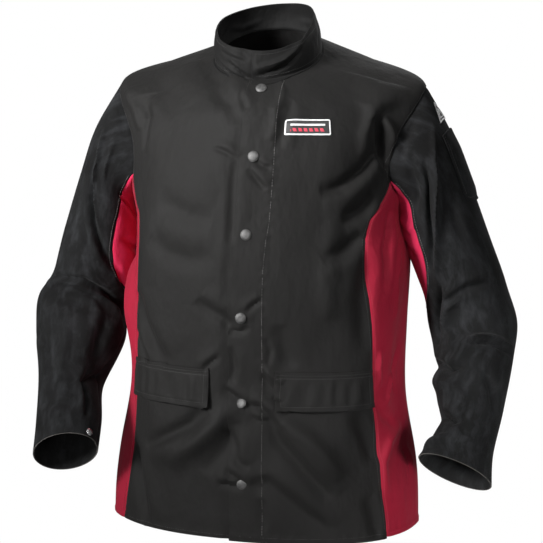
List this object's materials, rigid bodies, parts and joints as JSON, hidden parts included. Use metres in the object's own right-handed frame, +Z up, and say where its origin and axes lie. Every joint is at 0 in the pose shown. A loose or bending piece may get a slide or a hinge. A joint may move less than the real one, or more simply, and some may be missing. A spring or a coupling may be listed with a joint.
{
  "type": "welding jacket",
  "caption": "Black cotton welding jacket with red side panels, black suede sleeves, snap front, standing collar and flapped pockets, in its worn shape.",
  "frame": {"origin": "Middle of the neck opening, at the height where the shoulder lines meet the collar.", "axes": "+X is the wearer's left, -Y the front of the jacket, +Z up along the worn body."},
  "size_m": [0.7632, 0.338, 0.7843],
  "materials": {
    "black_cotton": "matte",
    "red_cotton": "matte",
    "black_suede": "matte",
    "dark_metal": "satin",
    "bright_metal": "polished",
    "badge_cloth": "matte"
  },
  "bodies": {
    "root": {"front_left": "black_cotton", "front_right": "black_cotton", "back_panel": "black_cotton", "side_panel_left": "red_cotton", "side_panel_right": "red_cotton", "sleeve_left": "black_suede", "sleeve_right": "black_suede", "arm_gusset_left": "red_cotton", "arm_gusset_right": "red_cotton", "collar": "black_cotton", "snap_1": "dark_metal", "snap_2": "dark_metal", "snap_3": "dark_metal", "snap_4": "dark_metal", "snap_5": "dark_metal", "snap_6": "dark_metal", "pocket_flap_left": "black_cotton", "pocket_flap_right": "black_cotton", "chest_badge": "badge_cloth", "sleeve_pocket": "black_suede", "arm_badge": "badge_cloth", "cuff_snap": "bright_metal"}
  },
  "joints": []
}
